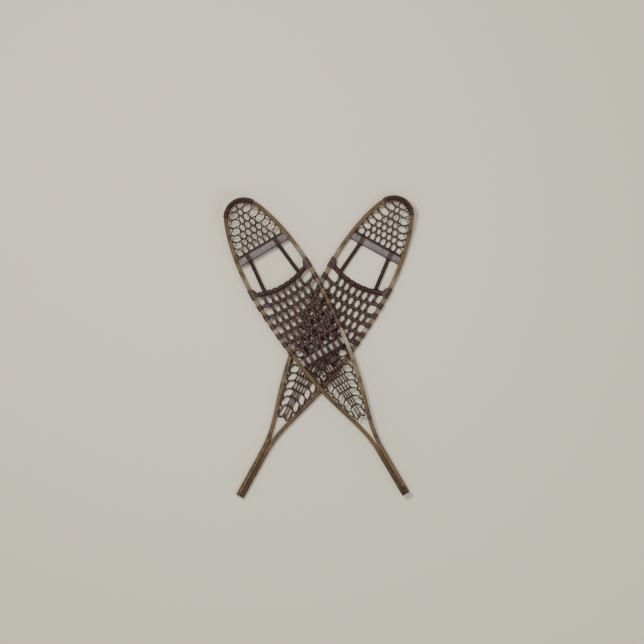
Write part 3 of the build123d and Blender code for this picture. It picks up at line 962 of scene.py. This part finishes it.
# each band's crossings: how many, their pitch, and how far their middle is off the centre line
FOOT_BANDS = (
    (7, 0.0240, -0.0105),
    (7, 0.0252, 0.0018),
    (8, 0.0240, -0.0025),
    (7, 0.0246, -0.0030),
    (8, 0.0236, -0.0010),
    (7, 0.0240, 0.0),
    (6, 0.0236, 0.0),
)


def foot_net(shoe):
    """The heavy net under the foot: wide flat strands and small upright cells."""
    strands = Strands(shoe, seed=41)
    rows = foot_rows()

    def border(station):
        return room(station, RAIL_WIDTH + 0.001)

    bands = []
    for j, (count, pitch, shift) in enumerate(FOOT_BANDS):
        middle = (rows[j](0.07) + rows[j + 1](0.07)) / 2
        bands.append(band_of(count, pitch, shoe.hand * shift, border(middle), 0.013))
    marks = weave(
        strands, rows, bands, border, HEAVY_OVER, wobble=0.0009, upright=0.0012, straight=0.20, drop=0.0038
    )
    lay_rows(strands, rows[:-1], marks[:-1], border, doubled=False, width=1.22)
    # the first strands loop round the toe cord
    for x in bands[0]:
        for lean in (-1, 1):
            cord_turn(strands, x - lean * 0.0042 + strands.random.normal(0, 0.0006), CORD_RADIUS + 0.0008)
    lay_piece(
        shoe, "foot_net", strands, "foot_lacing", "rawhide_lacing",
        Width=0.0096, Thickness=0.0034, Spacing=0.0032, Unevenness=0.35, Sides=10, Seed=7,
    )


# ---- turns of rawhide round the wood ----


def turn_line(width, height, slant, lift, corner=0.004):
    """One closed turn round a bar's section, as (across, along, up) with its slant, and the way it faces."""
    section, _ = rounded_section(width + 2 * lift, height + 2 * lift, corner, per_corner=5)
    # extra points on the flats let the slant run evenly
    points = []
    for i in range(len(section)):
        a, b = section[i], section[(i + 1) % len(section)]
        steps = 4 if np.linalg.norm(b - a) > 0.006 else 1
        points += [a + (b - a) * t / steps for t in range(steps)]
    points = np.array(points)
    share = points[:, 0] / (width / 2 + lift)
    d = np.roll(points, -1, axis=0) - np.roll(points, 1, axis=0)
    d /= np.linalg.norm(d, axis=1)[:, None]
    out = np.stack([d[:, 1], -d[:, 0]], axis=1)
    line = np.column_stack([points[:, 0], slant * share * np.where(points[:, 1] > 0, 1, -1), points[:, 1]])
    return line, out


def rail_turn(strands, side, station, slant, lift, width=1.0):
    """One turn of rawhide round a rail at a station."""
    middle = inset_line(RAIL_WIDTH / 2)
    i = int(np.argmin(np.abs(middle[:, 1] - station)))
    line, out = turn_line(RAIL_WIDTH, RAIL_HEIGHT, slant, lift)
    # a turn's across is inward here
    plan = middle[i] + INWARD[i] * line[:, :1] + ALONG[i] * line[:, 1:2]
    points = np.column_stack([plan, MIDDLE + line[:, 2]])
    facing = np.column_stack([INWARD[i] * out[:, :1], out[:, 1]])
    strands.add(points * (side, 1, 1), facing * (side, 1, 1), closed=True, width=width)


def rail_wraps(shoe):
    """The ends of the foot net's rows, each taken three times round the rail."""
    for side, name in ((-1, "left"), (1, "right")):
        strands = Strands(shoe, seed=(51 if side < 0 else 52) + (10 if shoe.name == "lower" else 0))
        for station in WRAP_STATIONS:
            for k in (-1, 0, 1):
                lift = TURN_LIFT + strands.random.uniform(0, 0.0003)
                width = strands.random.uniform(0.92, 1.1)
                rail_turn(strands, side, station + k * TURN_PITCH, 0.0014, lift, width)
        lay_piece(
            shoe, f"{name}_rail_turns", strands, f"{name}_rail_wraps", "rawhide_wrap",
            Width=0.0072, Thickness=0.0024, Spacing=0.003, Unevenness=0.25, Sides=8, Seed=9,
        )


def cord_lashings(shoe):
    """The toe cord's lashings: turns that fan out over the rail and gather round the cord's end."""
    line = inset_line(RAIL_WIDTH / 2)
    i = int(np.argmin(np.abs(line[:, 1] - LASHING)))
    middle, inward, along = line[i], INWARD[i], ALONG[i]
    half, top = RAIL_WIDTH / 2 + TURN_LIFT, 0.0108
    for side, name in ((-1, "left"), (1, "right")):
        strands = Strands(shoe, seed=53)
        for k in range(-3, 4):
            fan, lift = k * LASHING_PITCH, 0.0003 * (k % 2)
            reach = 0.0120 + 0.0055 * (3 - abs(k)) / 3 + strands.random.uniform(0, 0.001)
            gather = cord_station((middle + inward * (half + reach))[0]) - middle[1] + fan * 0.10
            # across the rail, along it and up, from the outer face over the top to the cord and back below
            over_top = [
                (-half, fan, 0.0),
                (-half, fan, 0.0075),
                (-half + 0.003, fan, top),
                (0.0, fan * 0.98, top + 0.0002),
                (half - 0.003, fan * 0.92, top),
                (half + reach * 0.35, fan * 0.62 + gather * 0.35, 0.0092),
                (half + reach * 0.85, gather, 0.0070),
                (half + reach + 0.002, gather, 0.0035),
            ]
            loop = np.array(over_top + [(a, b, -c) for a, b, c in over_top[::-1][:-1]])
            plan = middle + inward * loop[:, :1] + along * loop[:, 1:2]
            points = np.column_stack([plan, MIDDLE + loop[:, 2] + lift * np.sign(loop[:, 2])])
            facing = (points - (*(middle + inward * reach / 2), MIDDLE)) * (1, 0.05, 1)
            facing /= np.linalg.norm(facing, axis=1)[:, None]
            width = strands.random.uniform(0.95, 1.1)
            strands.add(points * (side, 1, 1), facing * (side, 1, 1), closed=True, width=width)
        for n in range(3):
            inside = middle + inward * (half + 0.0165 + n * 0.0052)
            cord_turn(strands, side * float(inside[0]), CORD_RADIUS + TURN_LIFT, width=0.85)
        lay_piece(
            shoe, f"{name}_lashing_turns", strands, f"{name}_cord_lashing", "rawhide_wrap",
            Width=0.0070, Thickness=0.0021, Spacing=0.0026, Unevenness=0.25, Sides=8, Seed=10,
        )


def toe_binding(shoe):
    """Close turns of rawhide round the bend of the toe."""
    strands = Strands(shoe, seed=55 if shoe.name == "upper" else 65)
    middle = inset_line(RAIL_WIDTH / 2)
    travelled = np.concatenate([[0], np.cumsum(np.linalg.norm(np.diff(middle, axis=0), axis=1))])
    # the binding ends well inside the line's first 200 points
    reach = np.interp(BINDING_END, middle[:200, 1], travelled[:200])
    count = int(reach / BINDING_PITCH)
    line, out = turn_line(RAIL_WIDTH, RAIL_HEIGHT, 0.0012, TURN_LIFT)
    for k in range(-count, count + 1):
        side = -1 if k < 0 else 1
        i = int(np.argmin(np.abs(travelled - abs(k) * BINDING_PITCH)))
        along, inward, centre = ALONG[i], INWARD[i], middle[i]
        share = (line[:, 0] / (RAIL_WIDTH / 2 + TURN_LIFT) + 1) / 2
        plan = centre + inward * line[:, :1] + along * (line[:, 1] * (1 - 0.3 * share))[:, None]
        points = np.column_stack([plan, MIDDLE + line[:, 2]]) * (side, 1, 1)
        facing = np.column_stack([inward * out[:, :1], out[:, 1]]) * (side, 1, 1)
        strands.add(points, facing, closed=True, width=strands.random.uniform(0.94, 1.1))
    lay_piece(
        shoe, "toe_turns", strands, "toe_binding", "rawhide_wrap",
        Width=0.0066, Thickness=0.0024, Spacing=0.003, Unevenness=0.25, Sides=8, Seed=12,
    )


def bar_turn(strands, station, x, slant, lift, width=1.0):
    """One turn of rawhide round a crossbar."""
    line, out = turn_line(BAR_WIDTH, BAR_THICKNESS, slant, lift, corner=0.0045)
    points = np.column_stack([x + line[:, 1], station + line[:, 0], MIDDLE + line[:, 2]])
    facing = np.column_stack([np.zeros(len(out)), out[:, 0], out[:, 1]])
    strands.add(points, facing, closed=True, width=width)


def rear_bar_wraps(shoe):
    """The foot net's strands taken round the rear crossbar in seven places, a pair of turns each."""
    strands = Strands(shoe, seed=56 if shoe.name == "upper" else 66)
    for k in range(-3, 4):
        for half in (-1, 1):
            x, lift = k * 0.0235 + half * 0.0029, TURN_LIFT + 0.0003 * (half > 0)
            bar_turn(strands, REAR_BAR, x, 0.0016 * half, lift, width=strands.random.uniform(0.9, 1.1))
    lay_piece(
        shoe, "rear_bar_turns", strands, "rear_bar_wraps", "rawhide_wrap",
        Width=0.0066, Thickness=0.0024, Spacing=0.003, Unevenness=0.3, Sides=8, Seed=13,
    )


# ---- thongs and cords ----


def selvage(shoe, name, first, last, rows, depth, held_from, arch):
    """The thong round a fine net, drawn in by the rows and held to the rails between them.

    Behind the last row it crosses from rail to rail, in an arch of the given depth.
    """
    strands = Strands(shoe, seed=57)
    inset = scalloped(rows, depth, held_from)
    stations = inset_line(RAIL_WIDTH + 0.004)[:, 1]
    line = FACE + INWARD * np.array([inset(s) for s in stations])[:, None]
    keep = (line[:, 1] >= first + 0.0017) & (line[:, 1] <= last - 0.0017) & (line[:, 0] >= -0.0001)
    right = line[keep][::2]
    ring = [tuple(p) for p in right]
    left = [(-x, s) for x, s in reversed(ring) if abs(x) > 1e-4]
    half, end = ring[-1]
    across = [(half * t, end - arch * (1 - t * t)) for t in np.linspace(1, -1, 13)[1:-1]]
    ring = np.array([(x, s, MIDDLE) for x, s in ring + across + left])
    strands.add(ring, closed=True)
    ends = row_ends(rows)
    holes = [(a + b) / 2 for a, b in zip(ends, ends[1:]) if a > 0.035]
    for station in holes:
        k = int(np.argmin(np.abs(FACE[:, 1] - station)))
        face, inward, along = FACE[k], INWARD[k], ALONG[k]
        at = float(inset(station))
        for side in (-1, 1):
            # through the hole, over the thong and back
            loop = [
                (RAIL_WIDTH - 0.002, 0.0, 0.0),
                (RAIL_WIDTH + 0.0008, 0.0008, 0.0026),
                (at + 0.0005, 0.0012, 0.0034),
                (at + 0.0026, 0.0006, 0.0006),
                (at + 0.0005, -0.0008, -0.0030),
                (RAIL_WIDTH + 0.0006, -0.0010, -0.0016),
                (RAIL_WIDTH - 0.002, 0.0, -0.0004),
            ]
            points = [(*(face + inward * a + along * b), MIDDLE + c) for a, b, c in loop]
            strands.add(eased(points, 0.0012) * (side, 1, 1), width=0.8)
    lay_piece(
        shoe, f"{name}_thong", strands, f"{name}_selvage", "rawhide_thong",
        Width=0.0029, Thickness=0.0027, Spacing=0.0022, Unevenness=0.3, Sides=7, Seed=15,
    )


def toe_cord(shoe):
    """The thick cord behind the toe hole: several strands of babiche laid up together."""
    strands = Strands(shoe, seed=58)
    strands.add(toe_cord_line())
    lay_piece(
        shoe, "toe_cord_plies", strands, "toe_cord", "rawhide_cord", CORD_TREE, CORDAGE,
        Cord_Radius=CORD_RADIUS, Lay_Length=0.040, Spacing=0.0025, Fullness=1.12, Plies=3,
    )


def lanyards(shoe):
    """The twisted cords from the front crossbar to the toe cord, and their turns round the crossbar."""
    front_x, rear_x = 0.058, 0.071
    for side, name in ((-1, "left"), (1, "right")):
        path = [
            (side * front_x, FRONT_BAR + BAR_WIDTH / 2 - 0.001, MIDDLE),
            (side * (front_x * 0.75 + rear_x * 0.25), FRONT_BAR + 0.045, MIDDLE),
            (side * rear_x, cord_station(rear_x), MIDDLE),
        ]
        line = Strands(shoe, seed=59)
        line.add(eased(path, 0.01))
        lay_piece(
            shoe, f"{name}_lanyard_plies", line, f"{name}_lanyard", "rawhide_cord", CORD_TREE, CORDAGE,
            Cord_Radius=0.0068, Lay_Length=0.030, Spacing=0.0025, Fullness=1.25, Plies=3,
        )
        turns = Strands(shoe, seed=60)
        for k in (-1, 0, 1):
            bar_turn(turns, FRONT_BAR, side * front_x + k * 0.0056, 0.001, TURN_LIFT)
        lay_piece(
            shoe, f"{name}_lanyard_turns", turns, f"{name}_lanyard", "rawhide_cord",
            Width=0.0062, Thickness=0.0024, Spacing=0.003, Unevenness=0.25, Sides=8, Seed=16,
        )


# ---- the pair ----

for shoe in (Shoe("lower"), Shoe("upper")):
    bent_frame(shoe)
    crossbar(shoe, "front_crossbar", FRONT_BAR, 71, 0.2)
    crossbar(shoe, "rear_crossbar", REAR_BAR, 72, 0.9)
    toe_net(shoe)
    foot_net(shoe)
    tail_net(shoe)
    rail_wraps(shoe)
    cord_lashings(shoe)
    toe_binding(shoe)
    rear_bar_wraps(shoe)
    first, last = RAIL_WIDTH + WRAP, FRONT_BAR - BAR_WIDTH / 2 - 0.001
    selvage(shoe, "toe", first, last, toe_rows(), TOE_SCALLOP, held_from=0.038, arch=0.0)
    first, last = REAR_BAR + BAR_WIDTH / 2 + 0.001, THROAT - TAIL_OPENING
    selvage(shoe, "tail", first, last, tail_rows(), TAIL_SCALLOP, held_from=0.0, arch=0.012)
    toe_cord(shoe)
    lanyards(shoe)

for name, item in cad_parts.items():
    if name.endswith(("tail_rivets", "tail_burrs")):
        item.data.materials.clear()
        item.data.materials.append(COPPER)


# ---- floor, light and camera ----


def floor():
    """A pale matt floor, which the dark shoes stand out from."""
    size = 14.0
    mesh = bpy.data.meshes.new("floor")
    mesh.from_pydata([(-size, -size, 0), (size, -size, 0), (size, size, 0), (-size, size, 0)], [], [(0, 1, 2, 3)])
    item = bpy.data.objects.new("floor", mesh)
    bpy.context.scene.collection.objects.link(item)
    made, _, shader = material("pale_floor")
    shader.inputs["Base Color"].default_value = linear("#D9D2BE")
    shader.inputs["Roughness"].default_value = 0.9
    mesh.materials.append(made)


def area_light(name, place, size, power, colour):
    light = bpy.data.lights.new(name, "AREA")
    light.shape = "DISK"
    light.size = size
    light.energy = power
    light.color = colour
    item = bpy.data.objects.new(name, light)
    item.location = place
    item.rotation_euler = (-Vector(place)).to_track_quat("-Z", "Y").to_euler()
    bpy.context.scene.collection.objects.link(item)


floor()
area_light("key", (-1.0, 1.1, 3.9), 1.1, 136.0, (1.0, 0.98, 0.95))
area_light("fill", (1.2, -0.6, 3.6), 1.6, 34.0, (0.93, 0.96, 1.0))

world = bpy.data.worlds.new("studio")
world.use_nodes = True
world.node_tree.nodes["Background"].inputs["Color"].default_value = (1.0, 1.0, 1.0, 1.0)
world.node_tree.nodes["Background"].inputs["Strength"].default_value = 0.50
bpy.context.scene.world = world

# straight down on the pair, which lies a little turned and off the middle of the view
LENS, SENSOR, VIEW_WIDTH = 240.0, 36.0, 2.312
LEAN = math.radians(0.85)
CROSSING = (0.0, -0.0068)
AIM = (0.0043, 0.0955)
right, up = (math.cos(LEAN), -math.sin(LEAN)), (math.sin(LEAN), math.cos(LEAN))
camera = bpy.data.cameras.new("camera")
camera.lens, camera.sensor_width = LENS, SENSOR
camera.clip_end = 60.0
camera_object = bpy.data.objects.new("camera", camera)
camera_object.location = (
    CROSSING[0] + AIM[0] * right[0] + AIM[1] * up[0],
    CROSSING[1] + AIM[0] * right[1] + AIM[1] * up[1],
    0.025 + VIEW_WIDTH * LENS / SENSOR,
)
camera_object.rotation_euler = (0, 0, -LEAN)
bpy.context.scene.collection.objects.link(camera_object)
bpy.context.scene.camera = camera_object
